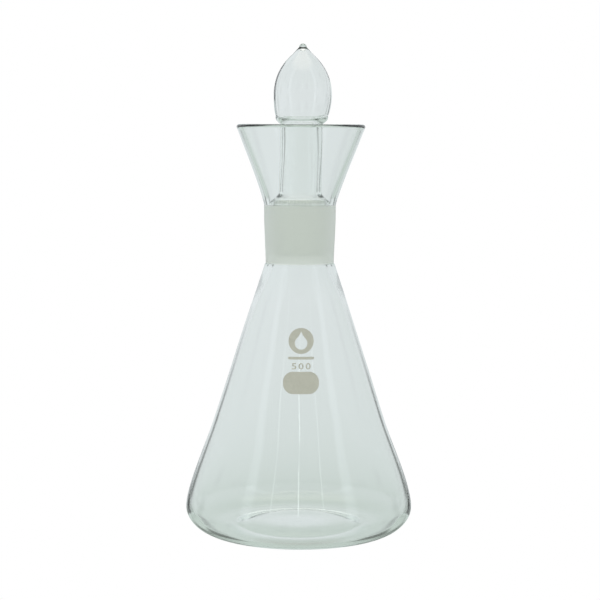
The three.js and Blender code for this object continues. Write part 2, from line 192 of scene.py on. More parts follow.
class Outline:
    """Points of (radius, height) along the section of a turned surface."""

    def __init__(self, radius, z):
        self.points = [(radius, z)]

    def line(self, radius, z, step=STEP):
        start_radius, start_z = self.points[-1]
        length = math.hypot(radius - start_radius, z - start_z)
        steps = max(1, round(length / step))
        for index in range(1, steps + 1):
            t = index / steps
            point_radius = start_radius + t * (radius - start_radius)
            self.points.append((point_radius, start_z + t * (z - start_z)))

    def curve(self, start_handle, end_handle, end, steps):
        start = self.points[-1]
        for step in range(1, steps + 1):
            t = step / steps
            weights = ((1 - t) ** 3, 3 * t * (1 - t) ** 2, 3 * t * t * (1 - t), t**3)
            corners = (start, start_handle, end_handle, end)
            radius = sum(w * corner[0] for w, corner in zip(weights, corners))
            z = sum(w * corner[1] for w, corner in zip(weights, corners))
            self.points.append((radius, z))

    def arc(self, centre_radius, centre_z, radius, start, end, steps):
        for step in range(1, steps + 1):
            angle = start + (end - start) * step / steps
            z = centre_z + radius * math.sin(angle)
            self.points.append((centre_radius + radius * math.cos(angle), z))


def add_turned(mesh, outline, wave, lean):
    """Adds the surface of an outline to a bmesh. A point on the axis becomes one vertex."""
    rings = []
    for radius, z in outline.points:
        x = lean(z)
        if radius < ON_AXIS:
            rings.append([mesh.verts.new((x, 0, z))])
            continue
        ring = []
        for segment in range(SEGMENTS):
            angle = TURN * segment / SEGMENTS
            r = radius + wave(angle, z)
            ring.append(mesh.verts.new((x + r * math.cos(angle), r * math.sin(angle), z)))
        rings.append(ring)
    for lower, upper in zip(rings, rings[1:]):
        for segment in range(SEGMENTS):
            following = (segment + 1) % SEGMENTS
            corners = []
            for ring, order in ((lower, (segment, following)), (upper, (following, segment))):
                corners += [ring[0]] if len(ring) == 1 else [ring[i] for i in order]
            face = mesh.faces.new(corners)
            face.smooth = True


def smooth_step(low, high, value):
    t = min(1, max(0, (value - low) / (high - low)))
    return t * t * (3 - 2 * t)


# ripples of blown glass: how many go round, how strong each is, and how it drifts with the
# phase and the height
RIPPLES = ((2, 1.0, 1.0, 0.7), (3, 0.6, -1.7, -1.3), (7, 0.35, 2.3, 0.4))
RIPPLE_HEIGHT = 60 * MM
RIPPLE_FADE = 12 * MM


def blown_wave(amplitude, phase, keep_clear):
    """Slow ripples of blown glass, which fade out towards the stretches that have to fit."""

    def wave(angle, z):
        fade = 1.0
        for low, high in keep_clear:
            distance = max(low - z, z - high, 0)
            fade *= smooth_step(0, RIPPLE_FADE, distance)
        turns = z / RIPPLE_HEIGHT * TURN
        ripple = 0.0
        for around, strength, drift, climb in RIPPLES:
            ripple += strength * math.sin(around * angle + drift * phase + climb * turns)
        return fade * amplitude * ripple

    return wave


GROOVE_DEPTH = 0.16 * MM
GROOVE_HALF_WIDTH = 0.28 * MM
GROOVE_DIP = 1.7 * MM
GROOVE_SIDE_Z = SEAL_TOP - 0.3 * MM


def with_seam(wave):
    """Adds the faint groove where the bulb is fused on, which dips at the front and back."""

    def seamed(angle, z):
        seam_z = GROOVE_SIDE_Z - GROOVE_DIP * math.sin(angle) ** 2
        away = (z - seam_z) / GROOVE_HALF_WIDTH
        return wave(angle, z) - GROOVE_DEPTH * math.exp(-(away**2))

    return seamed


def leaning(stretches):
    """How far a hand-fused piece stands off its axis at each height. Each stretch is
    (low, high, offset), and the offset builds up between low and high."""

    def lean(z):
        return sum(offset * smooth_step(low, high, z) for low, high, offset in stretches)

    return lean


def turned_object(name, surfaces, material, lean):
    mesh = bmesh.new()
    for outline, wave in surfaces:
        add_turned(mesh, outline, wave, lean)
    data = bpy.data.meshes.new(name)
    mesh.to_mesh(data)
    mesh.free()
    data.materials.append(material)
    piece = bpy.data.objects.new(name, data)
    bpy.context.scene.collection.objects.link(piece)
    return piece


# ---------------------------------------------------------------- outlines of the flask


def flask_outside():
    """The outline from the middle of the base up the outside to the inner edge of the lip."""
    heel = BODY_RADIUS - CONTACT_OUTER
    lip = COLLAR_WALL / 2
    lean = math.atan(COLLAR_SLOPE_RIM)
    lip_radius = RIM_RADIUS - lip
    lip_z = RIM_TOP - lip
    edge_radius = lip_radius + lip * math.cos(lean)
    edge_z = lip_z - lip * math.sin(lean)
    bend_radius = SOCKET_RADIUS + COLLAR_BEND_SPREAD
    bend_z = SOCKET_TOP + COLLAR_BEND_RISE
    outline = Outline(0, PUSH_UP)
    outline.curve(
        (CONTACT_INNER / 2, PUSH_UP),
        (CONTACT_INNER - PUSH_UP_REACH, PUSH_UP_RISE),
        (CONTACT_INNER, 0),
        steps=24,
    )
    outline.line(CONTACT_OUTER, 0)
    outline.curve(
        (CONTACT_OUTER + HEEL_SPREAD * heel, 0),
        (BODY_RADIUS, HEEL_BEND * WIDEST_Z),
        (BODY_RADIUS, WIDEST_Z),
        steps=28,
    )
    outline.curve(
        (BODY_RADIUS, WIDEST_Z + WALL_REACH),
        (cone_radius(CONE_FOOT - SHOULDER_REACH), CONE_FOOT - SHOULDER_REACH),
        (cone_radius(CONE_FOOT), CONE_FOOT),
        steps=30,
    )
    outline.line(CONE_TOP_RADIUS + NECK_EASE / 3, CONE_TOP - NECK_EASE)
    outline.curve(
        moved((CONE_TOP_RADIUS, CONE_TOP), NECK_HANDLE),
        (SOCKET_FOOT_RADIUS, CONE_TOP + NECK_FILLET),
        (SOCKET_FOOT_RADIUS, SOCKET_FOOT),
        steps=6,
    )
    outline.line(SOCKET_RADIUS - SOCKET_SWELL, SOCKET_FULL)
    collar_foot = (SOCKET_RADIUS, SOCKET_TOP)
    outline.line(*collar_foot)
    outline.curve(
        moved(collar_foot, COLLAR_FOOT_HANDLE),
        moved(collar_foot, COLLAR_BEND_HANDLE),
        (bend_radius, bend_z),
        steps=10,
    )
    outline.curve(
        (bend_radius + COLLAR_SLOPE_FOOT * COLLAR_REACH, bend_z + COLLAR_REACH),
        (edge_radius - COLLAR_SLOPE_RIM * COLLAR_REACH, edge_z - COLLAR_REACH),
        (edge_radius, edge_z),
        steps=24,
    )
    outline.arc(lip_radius, lip_z, lip, -lean, math.pi - lean, steps=20)
    return outline


def flask_inside(outline):
    """Carries the outside's outline on, from the inner edge of the lip to the floor's middle."""
    edge_radius, edge_z = outline.points[-1]
    foot = (bore_radius(SOCKET_TOP), SOCKET_TOP)
    bend_radius = foot[0] + COLLAR_INNER_BEND_SPREAD
    bend_z = SOCKET_TOP + COLLAR_INNER_BEND_RISE
    outline.curve(
        (edge_radius - COLLAR_SLOPE_RIM * COLLAR_REACH, edge_z - COLLAR_REACH),
        (bend_radius + COLLAR_SLOPE_FOOT * COLLAR_REACH, bend_z + COLLAR_REACH),
        (bend_radius, bend_z),
        steps=24,
    )
    outline.curve(
        moved(foot, COLLAR_INNER_BEND_HANDLE),
        moved(foot, COLLAR_INNER_FOOT_HANDLE),
        foot,
        steps=10,
    )
    run_out_z = SOCKET_FOOT - GROUND_RUN_OUT
    run_out = (bore_radius(run_out_z) + GROUND_EASE, run_out_z)
    outline.line(bore_radius(SOCKET_FOOT), SOCKET_FOOT)
    outline.line(*run_out)
    wall = BODY_WALL * math.hypot(1, CONE_SLOPE)
    bend_radius = cone_radius(CONE_INNER_TOP) - wall
    outline.curve(
        moved(run_out, RUN_OUT_HANDLE),
        (bend_radius - CONE_SLOPE * NECK_REACH, CONE_INNER_TOP + NECK_REACH),
        (bend_radius, CONE_INNER_TOP),
        steps=16,
    )
    inner_foot = cone_radius(CONE_FOOT) - wall
    inner_radius = BODY_RADIUS - HEEL_WALL
    outline.line(inner_foot, CONE_FOOT)
    outline.curve(
        (inner_foot + CONE_SLOPE * SHOULDER_REACH, CONE_FOOT - SHOULDER_REACH),
        (inner_radius, INNER_WIDEST_Z + WALL_REACH),
        (inner_radius, INNER_WIDEST_Z),
        steps=30,
    )
    outline.curve(
        (inner_radius, INNER_HEEL_BEND * INNER_WIDEST_Z),
        ((CONTACT_OUTER + inner_radius) / 2, FLOOR_WALL),
        (CONTACT_OUTER, FLOOR_WALL),
        steps=28,
    )
    outline.curve(
        (CONTACT_INNER - FLOOR_REACH, FLOOR_WALL + FLOOR_RISE),
        (CONTACT_INNER / 2, PUSH_UP + FLOOR_WALL),
        (0, PUSH_UP + FLOOR_WALL),
        steps=24,
    )
    return outline


# ---------------------------------------------------------------- outlines of the stopper


def stopper_outside():
    """The outline from the middle of the plug's foot up to the tip."""
    round_centre = plug_radius(PLUG_FOOT) - PLUG_ROUND
    tip_centre = TIP - TIP_ROUND
    tip_neck = (TIP_NECK_RADIUS, TIP_NECK)
    tip_foot = (TIP_ROUND, tip_centre)
    band_radius = SEAL_RADIUS - SEAL_FLARE
    outline = Outline(0, PLUG_FOOT)
    outline.line(round_centre, PLUG_FOOT)
    outline.arc(round_centre, PLUG_FOOT + PLUG_ROUND, PLUG_ROUND, -math.pi / 2, 0, steps=8)
    outline.line(PLUG_RADIUS, PLUG_TOP)
    outline.curve(
        (PLUG_RADIUS, PLUG_TOP + STEM_SHOULDER_REACH),
        (STEM_RADIUS, SHOULDER_TOP - STEM_SHOULDER_REACH),
        (STEM_RADIUS, SHOULDER_TOP),
        steps=16,
    )
    outline.line(STEM_RADIUS, STEM_TOP)
    outline.curve(
        (STEM_RADIUS, STEM_TOP + SEAL_OUTER_REACH),
        (band_radius, SEAL_BAND_FOOT - SEAL_BAND_REACH),
        (band_radius, SEAL_BAND_FOOT),
        steps=14,
    )
    outline.line(SEAL_RADIUS, SEAL_TOP, step=FINE_STEP)
    outline.curve(
        (SEAL_RADIUS + BULB_FLARE, SEAL_TOP + BULB_FLARE_RISE),
        (BULB_RADIUS, BULB_WIDEST - BULB_REACH_DOWN),
        (BULB_RADIUS, BULB_WIDEST),
        steps=40,
    )
    outline.curve(
        (BULB_RADIUS, BULB_WIDEST + BULB_REACH_UP),
        (TIP_NECK_RADIUS + TIP_SHOULDER_SPREAD, TIP_NECK - TIP_SHOULDER_DROP),
        tip_neck,
        steps=28,
    )
    outline.curve(
        moved(tip_neck, TIP_NECK_HANDLE),
        moved(tip_foot, TIP_HANDLE),
        tip_foot,
        steps=10,
    )
    outline.arc(0, tip_centre, TIP_ROUND, 0, math.pi / 2, steps=12)
    outline.points[-1] = (0, TIP)
    return outline


def stopper_inside():
    """The hollow, from under the tip down through the bulb and the stem to the plug's floor."""
    bulb_bore = BULB_RADIUS - BULB_WALL
    seal_bore = SEAL_RADIUS - BULB_WALL
    stem_bore = STEM_RADIUS - STEM_WALL
    plug_bore = PLUG_RADIUS - PLUG_WALL
    floor_radius = plug_radius(PLUG_FOOT) - PLUG_WALL
    floor_z = PLUG_FOOT + PLUG_WALL
    round_z = floor_z + PLUG_INNER_ROUND
    dome_top = (0, TIP - TIP_SOLID)
    neck_radius = TIP_NECK_RADIUS - TIP_NECK_WALL
    neck_z = TIP_NECK - TIP_NECK_WALL
    outline = Outline(*dome_top)
    outline.curve(
        moved(dome_top, DOME_HANDLE),
        moved((neck_radius, neck_z), DOME_NECK_HANDLE),
        (neck_radius, neck_z),
        steps=12,
    )
    outline.curve(
        (neck_radius + TIP_SHOULDER_SPREAD, neck_z - TIP_SHOULDER_DROP),
        (bulb_bore, BULB_WIDEST + BULB_REACH_UP),
        (bulb_bore, BULB_WIDEST),
        steps=28,
    )
    outline.curve(
        (bulb_bore, BULB_WIDEST - BULB_REACH_DOWN),
        (seal_bore + BULB_FLARE, SEAL_TOP + BULB_FLARE_RISE),
        (seal_bore, SEAL_TOP),
        steps=14,
    )
    outline.curve(
        (seal_bore, SEAL_TOP - SEAL_INNER_REACH),
        (stem_bore, STEM_TOP + SEAL_INNER_REACH),
        (stem_bore, STEM_TOP),
        steps=16,
    )
    outline.line(stem_bore, SHOULDER_TOP)
    outline.curve(
        (stem_bore, SHOULDER_TOP - STEM_SHOULDER_REACH),
        (plug_bore, PLUG_TOP + STEM_SHOULDER_REACH),
        (plug_bore, PLUG_TOP),
        steps=16,
    )
    outline.line(floor_radius, round_z)
    outline.arc(floor_radius - PLUG_INNER_ROUND, round_z, PLUG_INNER_ROUND, 0, -math.pi / 2, steps=6)
    outline.line(0, floor_z)
    return outline


# ---------------------------------------------------------------- nodes of a material


class Shader:
    """A material or world whose nodes are made one call at a time."""

    def __init__(self, owner):
        owner.use_nodes = True
        self.tree = owner.node_tree
        self.tree.nodes.clear()

    def node(self, kind, inputs=None, **settings):
        made = self.tree.nodes.new(kind)
        for name, value in settings.items():
            setattr(made, name, value)
        for name, value in (inputs or {}).items():
            self.feed(made, name, value)
        return made

    def feed(self, made, name, value):
        if isinstance(value, bpy.types.NodeSocket):
            self.tree.links.new(value, made.inputs[name])
        else:
            made.inputs[name].default_value = value

    def math(self, operation, first, second=0.0):
        return self.node("ShaderNodeMath", {0: first, 1: second}, operation=operation).outputs[0]

    def ramp(self, value, low, high, to_low=0.0, to_high=1.0):
        """Goes smoothly from to_low to to_high while value goes from low to high."""
        span = {"From Min": low, "From Max": high, "To Min": to_low, "To Max": to_high}
        inputs = {"Value": value, **span}
        made = self.node("ShaderNodeMapRange", inputs, interpolation_type="SMOOTHSTEP")
        return made.outputs["Result"]

    def mix(self, factor, first, second):
        made = self.node("ShaderNodeMix", data_type="RGBA")
        self.feed(made, 0, factor)
        self.feed(made, 6, first)
        self.feed(made, 7, second)
        return made.outputs[2]

    def window(self, value, low, high, soft):
        """1 while value is between low and high, with soft edges."""
        rise = self.ramp(value, low - soft, low + soft)
        fall = self.ramp(value, high - soft, high + soft, 1.0, 0.0)
        return self.math("MULTIPLY", rise, fall)

    def noise(self, scale, vector, detail=3.0):
        inputs = {"Scale": scale, "Detail": detail, "Roughness": 0.55, "Vector": vector}
        return self.node("ShaderNodeTexNoise", inputs).outputs["Fac"]

    def bump(self, height, distance, strength=1.0, under=None):
        """Bumps as deep as distance, on top of the bumps in under."""
        inputs = {"Height": height, "Strength": strength, "Distance": distance}
        if under is not None:
            inputs["Normal"] = under
        return self.node("ShaderNodeBump", inputs).outputs["Normal"]


# how fine the noises of the glass are, as features per metre, and how deep their bumps
RIPPLE_SCALE, RIPPLE_DEPTH = 55, 0.02 * MM
GRAIN_SCALE, GRAIN_DEPTH = 3600, 0.03 * MM
SHEEN_SCALE, DULL_SCALE, GRIT_SCALE = 90, 1400, 2300
CLEAR_ROUGHNESS = (0.0, 0.02)
FACES_ROUGHNESS = (0.2, 0.3)
OUTSIDE_ROUGHNESS = (0.3, 0.42)

GLASS_IOR = 1.472
GLASS_TINT = (0.68, 0.86, 0.80, 1)
TINT_DENSITY = 14  # per metre
CLEAR_COLOR = (0.99, 0.995, 0.99, 1)
GROUND_DARK = (0.95, 0.965, 0.915, 1)
GROUND_LIGHT = (0.99, 1.0, 0.955, 1)
NOISE_LOW, NOISE_HIGH = 0.35, 0.7  # values between which a noise is spread out

# heights between which the joint is dull, and how softly the dullness ends
ZONE_FOOT, ZONE_TOP = SOCKET_FOOT - 0.6 * MM, PLUG_TOP - 0.5 * MM
ZONE_SOFT = 0.2 * MM
ZONE_EDGE = 0.1 * MM  # how softly it changes between the ground faces and the outside

# share of the light that goes on through a dulled surface, on the way in and on the way out
FACES_THROUGH = (0.74, 0.97)
OUTSIDE_THROUGH = (0.34, 0.97)


def joint_finish(shader, vector):
    """Two masks of the ground joint: its ground faces, which lie on one cone, and the dulled
    outside of the socket round them."""
    axes = shader.node("ShaderNodeSeparateXYZ", {"Vector": vector})
    x, y, z = axes.outputs[0], axes.outputs[1], axes.outputs[2]
    x_square = shader.math("POWER", x, 2.0)
    y_square = shader.math("POWER", y, 2.0)
    radius = shader.math("SQRT", shader.math("ADD", x_square, y_square))
    narrowing = shader.math("MULTIPLY", shader.math("SUBTRACT", PLUG_TOP, z), JOINT_TAPER)
    across = shader.math("ADD", radius, narrowing)
    between = shader.window(z, ZONE_FOOT, ZONE_TOP, ZONE_SOFT)
    inner = PLUG_RADIUS - PLUG_WALL / 2
    outer = (PLUG_RADIUS + SOCKET_RADIUS) / 2
    faces = shader.math("MULTIPLY", shader.window(across, inner, outer, ZONE_EDGE), between)
    beyond = shader.ramp(across, outer - ZONE_EDGE, outer + ZONE_EDGE)
    outside = shader.math("MULTIPLY", beyond, between)
    return faces, outside


def glass():
    """Blown borosilicate glass: faint ripples, a light tint through its depth, and a fine
    dull grain where the joint is ground."""
    material = bpy.data.materials.new("glass")
    shader = Shader(material)
    vector = shader.node("ShaderNodeTexCoord").outputs["Object"]
    faces, outside = joint_finish(shader, vector)
    ground = shader.math("ADD", faces, outside)

    fine = shader.noise(DULL_SCALE, vector)
    sheen = shader.noise(SHEEN_SCALE, vector)
    roughness = shader.ramp(sheen, NOISE_LOW, NOISE_HIGH, *CLEAR_ROUGHNESS)
    clearness = 1.0
    leaving = shader.node("ShaderNodeNewGeometry").outputs["Backfacing"]
    finishes = (
        (faces, FACES_ROUGHNESS, FACES_THROUGH),
        (outside, OUTSIDE_ROUGHNESS, OUTSIDE_THROUGH),
    )
    for mask, dullness, through in finishes:
        dull = shader.ramp(fine, NOISE_LOW, NOISE_HIGH, *dullness)
        roughness = shader.ramp(mask, 0.0, 1.0, roughness, dull)
        passing = shader.ramp(leaving, 0.0, 1.0, *through)
        clearness = shader.ramp(mask, 0.0, 1.0, clearness, passing)

    grit = shader.ramp(shader.noise(GRIT_SCALE, vector), 0.3, NOISE_HIGH)
    ground_color = shader.mix(grit, GROUND_DARK, GROUND_LIGHT)
    grains = shader.noise(GRAIN_SCALE, vector, detail=4.0)
    grain = shader.bump(shader.math("MULTIPLY", ground, grains), GRAIN_DEPTH)
    waves = shader.noise(RIPPLE_SCALE, vector, detail=4.0)
    ripples = shader.bump(waves, RIPPLE_DEPTH, under=grain)
    surface = shader.node(
        "ShaderNodeBsdfPrincipled",
        {
            "Base Color": shader.mix(ground, CLEAR_COLOR, ground_color),
            "Roughness": roughness,
            "IOR": GLASS_IOR,
            "Transmission Weight": clearness,
            "Normal": ripples,
        },
    )
    tint = {"Color": GLASS_TINT, "Density": TINT_DENSITY}
    depth = shader.node("ShaderNodeVolumeAbsorption", tint)
    output = shader.node("ShaderNodeOutputMaterial")
    shader.feed(output, "Surface", surface.outputs[0])
    shader.feed(output, "Volume", depth.outputs[0])
    return material


SPECKLE_SCALE, THIN_SCALE, SATIN_SCALE, PEBBLE_SCALE = 3200, 420, 900, 2600
PEBBLE_DEPTH, PEBBLE_STRENGTH = 0.03 * MM, 0.6
ENAMEL_ROUGHNESS = (0.38, 0.6)
ENAMEL_IOR = 1.5
ENAMEL_DARK = (0.545, 0.53, 0.455, 1)
ENAMEL_LIGHT = (0.66, 0.635, 0.545, 1)
ENAMEL_THIN = (0.69, 0.67, 0.585, 1)
THIN_SHARE = 0.35  # how much the thin spots of the enamel show


def enamel():
    """Fired enamel: a beige-grey coat with fine speckle, thin spots and a satin skin."""
    material = bpy.data.materials.new("enamel")
    shader = Shader(material)
    vector = shader.node("ShaderNodeTexCoord").outputs["Object"]
    speckle = shader.ramp(shader.noise(SPECKLE_SCALE, vector, detail=2.0), 0.3, 0.7)
    thin = shader.ramp(shader.noise(THIN_SCALE, vector), 0.3, 0.75)
    thin_share = shader.math("MULTIPLY", thin, THIN_SHARE)
    coat = shader.mix(speckle, ENAMEL_DARK, ENAMEL_LIGHT)
    satin = shader.ramp(shader.noise(SATIN_SCALE, vector), 0.3, 0.7, *ENAMEL_ROUGHNESS)
    pebbles = shader.noise(PEBBLE_SCALE, vector)
    surface = shader.node(
        "ShaderNodeBsdfPrincipled",
        {
            "Base Color": shader.mix(thin_share, coat, ENAMEL_THIN),
            "Roughness": satin,
            "IOR": ENAMEL_IOR,
            "Normal": shader.bump(pebbles, PEBBLE_DEPTH, strength=PEBBLE_STRENGTH),
        },
    )
    output = shader.node("ShaderNodeOutputMaterial")
    shader.feed(output, "Surface", surface.outputs[0])
    return material


# ---------------------------------------------------------------- printing

PRINT_GAP = 0.03 * MM
PRINT_THICKNESS = 0.12 * MM
STRIP = 0.4 * MM  # width of the strips that a flat print is cut in before it is wrapped
WELD = 1e-7  # points of a print closer than this are one point

# proportions of the flat prints, which are then fitted to the size of their nodes
BADGE_RADIUS = 5.8
DROPLET_RADIUS = BADGE_RADIUS / 2
BAR_WIDTH, BAR_HEIGHT, BAR_ROUND = 12, 1.2, 0.48
PATCH_WIDTH, PATCH_HEIGHT, PATCH_ROUND = 16.6, 9.9, 4.6
DIGIT_BOLDNESS = 0.015


def circle_points(radius, steps=64):
    angles = [TURN * step / steps for step in range(steps)]
    return [(radius * math.cos(a), radius * math.sin(a)) for a in angles]


def rounded_bar_points(width, height, round_radius, steps=12):
    """A bar with rounded corners. Each corner is its two sides and the turn it starts at."""
    points = []
    corners = ((1, -1, -0.25), (1, 1, 0), (-1, 1, 0.25), (-1, -1, 0.5))
    for side_x, side_y, start in corners:
        centre_x = side_x * (width / 2 - round_radius)
        centre_y = side_y * (height / 2 - round_radius)
        for step in range(steps + 1):
            angle = TURN * (start + 0.25 * step / steps)
            x = centre_x + round_radius * math.cos(angle)
            points.append((x, centre_y + round_radius * math.sin(angle)))
    return points


def droplet_points(radius, steps=40):
    """A drop with its round end down and its point up."""
    centre_y = -0.35 * radius
    start = -1.25 * math.pi + TURN * 0.04
    end = 0.25 * math.pi - TURN * 0.04
    points = []
    for step in range(steps + 1):
        angle = start + (end - start) * step / steps
        points.append((radius * math.cos(angle), centre_y + radius * math.sin(angle)))
    points.append((0.3 * radius, 0.85 * radius))
    points.append((0, 1.45 * radius))
    points.append((-0.3 * radius, 0.85 * radius))
    return points


def flat_curve(loops):
    """A filled flat curve, where a loop inside another is a hole."""
    curve = bpy.data.curves.new("print_outline", "CURVE")
    curve.dimensions = "2D"
    curve.fill_mode = "BOTH"
    for loop in loops:
        spline = curve.splines.new("POLY")
        spline.points.add(len(loop) - 1)
        spline.use_cyclic_u = True
        for point, (x, y) in zip(spline.points, loop):
            point.co = (x, y, 0, 1)
    return curve


def digit_curve(digit):
    curve = bpy.data.curves.new("print_digit", "FONT")
    curve.body = digit
    curve.resolution_u = 12
    curve.offset = DIGIT_BOLDNESS
    return curve


def mesh_of_curve(curve):
    """The curve's flat faces, as a bmesh in the XY plane."""
    holder = bpy.data.objects.new("print_holder", curve)
    bpy.context.scene.collection.objects.link(holder)
    bpy.context.view_layer.update()
    evaluated = holder.evaluated_get(bpy.context.evaluated_depsgraph_get())
    mesh = bmesh.new()
    mesh.from_mesh(evaluated.to_mesh())
    evaluated.to_mesh_clear()
    bpy.data.objects.remove(holder)
    bpy.data.curves.remove(curve)
    return mesh


def fit_to_node(mesh, node):
    """Scales and moves the flat print so that it fills the node's width and height."""
    low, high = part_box(node)
    xs = [v.co.x for v in mesh.verts]
    ys = [v.co.y for v in mesh.verts]
    scale_x = (high.x - low.x) / (max(xs) - min(xs))
    scale_y = (high.z - low.z) / (max(ys) - min(ys))
    for vertex in mesh.verts:
        x = low.x + (vertex.co.x - min(xs)) * scale_x
        z = low.z + (vertex.co.y - min(ys)) * scale_y
        vertex.co = Vector((x, 0, z))


def cut_in_strips(mesh):
    """Cuts the flat print from side to side, so that it can bend round the cone."""
    low = min(v.co.x for v in mesh.verts)
    high = max(v.co.x for v in mesh.verts)
    for strip in range(1, math.ceil((high - low) / STRIP)):
        everything = mesh.verts[:] + mesh.edges[:] + mesh.faces[:]
        place = (low + strip * STRIP, 0, 0)
        across = (1, 0, 0)
        bmesh.ops.bisect_plane(mesh, geom=everything, plane_co=place, plane_no=across, dist=WELD)


def wrap_on_cone(vertex, height):
    """Puts a point of the flat print on the front of the cone, at a height above the glass."""
    radius = cone_radius(vertex.co.z) + height
    vertex.co.y = -math.sqrt(radius**2 - vertex.co.x**2)


def printed(name, curve, material):
    """A thin coat on the front of the cone in place of the CAD node of that name."""
    mesh = mesh_of_curve(curve)
    bmesh.ops.remove_doubles(mesh, verts=mesh.verts, dist=WELD)
    fit_to_node(mesh, name)
    cut_in_strips(mesh)
    front = mesh.faces[:]
    for face in front:
        if face.normal.y > 0:
            face.normal_flip()
    raised = bmesh.ops.extrude_face_region(mesh, geom=front)["geom"]
    top = {v for v in raised if isinstance(v, bmesh.types.BMVert)}
    for vertex in mesh.verts:
        height = PRINT_GAP + (PRINT_THICKNESS if vertex in top else 0)
        wrap_on_cone(vertex, height)
    bmesh.ops.recalc_face_normals(mesh, faces=mesh.faces[:])
    data = bpy.data.meshes.new(name + "_print")
    mesh.to_mesh(data)
    mesh.free()
    data.materials.append(material)
    piece = bpy.data.objects.new(name + "_print", data)
    bpy.context.scene.collection.objects.link(piece)
    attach(piece, "flask")
    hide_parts(name)


# ---------------------------------------------------------------- pieces


# height and phase of the blown ripples, and how far the hand-fused parts stand off the axis
FLASK_WAVE = (0.08 * MM, 0.4)
STOPPER_OUTER_WAVE = (0.06 * MM, 1.3)
STOPPER_INNER_WAVE = (0.09 * MM, 3.0)
BASE_MARGIN, BORE_MARGIN, PLUG_MARGIN = 1 * MM, 2 * MM, 1 * MM  # kept free of ripples as well
COLLAR_LEAN = 0.3 * MM
STEM_LEAN = 0.6 * MM
BULB_LEAN = 0.5 * MM


def make_flask(clear):
    """The body, socket and collar. The collar leans a little."""
    joint = (SOCKET_FOOT - BORE_MARGIN, SOCKET_TOP)
    fixed = ((0, BASE_MARGIN), joint, (RIM_TOP, RIM_TOP))
    wave = blown_wave(*FLASK_WAVE, fixed)
    lean = leaning([(SOCKET_TOP, RIM_TOP, COLLAR_LEAN)])
    surfaces = [(flask_inside(flask_outside()), wave)]
    flask = turned_object("flask_glass", surfaces, clear, lean)
    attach(flask, "flask")
    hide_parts("flask_body", "neck_socket", "funnel_collar")


def make_stopper(clear):
    """The plug, stem and bulb. Above the joint they lean a little."""
    fixed = ((PLUG_FOOT, PLUG_TOP + PLUG_MARGIN), (TIP, TIP))
    outer = blown_wave(*STOPPER_OUTER_WAVE, fixed)
    inner = blown_wave(*STOPPER_INNER_WAVE, fixed)
    lean = leaning([(PLUG_TOP, STEM_TOP, STEM_LEAN), (STEM_TOP, BULB_WIDEST, BULB_LEAN)])
    surfaces = [(stopper_outside(), with_seam(outer)), (stopper_inside(), inner)]
    stopper = turned_object("stopper_glass", surfaces, clear, lean)
    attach(stopper, "stopper")
    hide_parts("stopper_plug", "stopper_stem", "bulb_seal", "bulb_head")


def make_printing(coat):
    badge = [circle_points(BADGE_RADIUS), droplet_points(DROPLET_RADIUS)]
    printed("badge_disc", flat_curve(badge), coat)
    bar = [rounded_bar_points(BAR_WIDTH, BAR_HEIGHT, BAR_ROUND)]
    printed("name_bar", flat_curve(bar), coat)
    patch = [rounded_bar_points(PATCH_WIDTH, PATCH_HEIGHT, PATCH_ROUND)]
    printed("writing_patch", flat_curve(patch), coat)
    for name, digit in (("digit_5", "5"), ("digit_0_a", "0"), ("digit_0_b", "0")):
        printed(name, digit_curve(digit), coat)


# ---------------------------------------------------------------- stage

CAMERA_SIDE = 0.0002
CAMERA_DISTANCE = 0.8296
CAMERA_HEIGHT = 0.1955
CAMERA_PITCH = math.radians(5.81)
CAMERA_ROLL = math.radians(0.24)
CAMERA_LENS = 105.0
CAMERA_SENSOR = 36.0


def make_camera():
    data = bpy.data.cameras.new("camera")
    data.lens = CAMERA_LENS
    data.sensor_width = CAMERA_SENSOR
    data.clip_start = 0.01
    camera = bpy.data.objects.new("camera", data)
    bpy.context.scene.collection.objects.link(camera)
    place = Matrix.Translation((CAMERA_SIDE, -CAMERA_DISTANCE, CAMERA_HEIGHT))
    pitch = Matrix.Rotation(math.pi / 2 - CAMERA_PITCH, 4, "X")
    roll = Matrix.Rotation(CAMERA_ROLL, 4, "Z")
    camera.matrix_world = place @ pitch @ roll
    bpy.context.scene.camera = camera


# colours of the studio, where 1 is white
TENT_LOW = (0.545, 0.622, 0.578, 1)
TENT_HIGH = (0.82, 0.86, 0.885, 1)
TENT_RIGHT = (0.4, 0.44, 0.42, 1)
TENT_FRONT = (0.58, 0.62, 0.60, 1)
SIDE_BOX = (1.2, 1.28, 1.32, 1)
OVERHEAD = (1.6, 1.56, 1.45, 1)
UNDERNEATH = (0.3, 0.29, 0.24, 1)
STRIP_LIGHT = (2.9, 3.1, 3.1, 1)
FLAG = (0.1, 0.11, 0.1, 1)
WHITE = (1, 1, 1, 1)

RIGHT_SHADE = 0.13  # how much duller the tent is on the right
RIGHT_REACH = (-0.25, 0.25)  # x of the directions between which it gets duller
FRONT_LEFT_OVER = 0.2  # how much of the front's darkening goes on round the sides
FLAG_SHARE = 0.9
SOFT = 3  # degrees over which a zone's edges fade
STRIP_SOFT = 0.2

# Directions are a turn or side and a height, in degrees. A turn of 0 is towards -Y and 90
# is towards +X. A side is the same without its sign, so each zone has a twin across the
# X = 0 plane. A height is above the horizon.
STRIPS = ((0, 0.7, 1.0), (-29, 0.6, 0.5), (26, 0.6, 0.5))  # turn, half width and strength
STRIP_HEIGHTS = (13, 29)
STRIP_END_SOFT = 2
PALER_HEIGHTS = (-18.5, -4)  # the tent gets paler as it rises between these
FRONT_HEIGHTS = (-11, -5)
FRONT_SIDES = (46, 72)
TOP_HEIGHTS = (48, 70)
UNDER_HEIGHTS = (-72, -60)
BOX_ZONE = (50, 62, -6, 60)  # side from and to, height from and to
HEEL_ZONE = (140, 160, -50, -34)

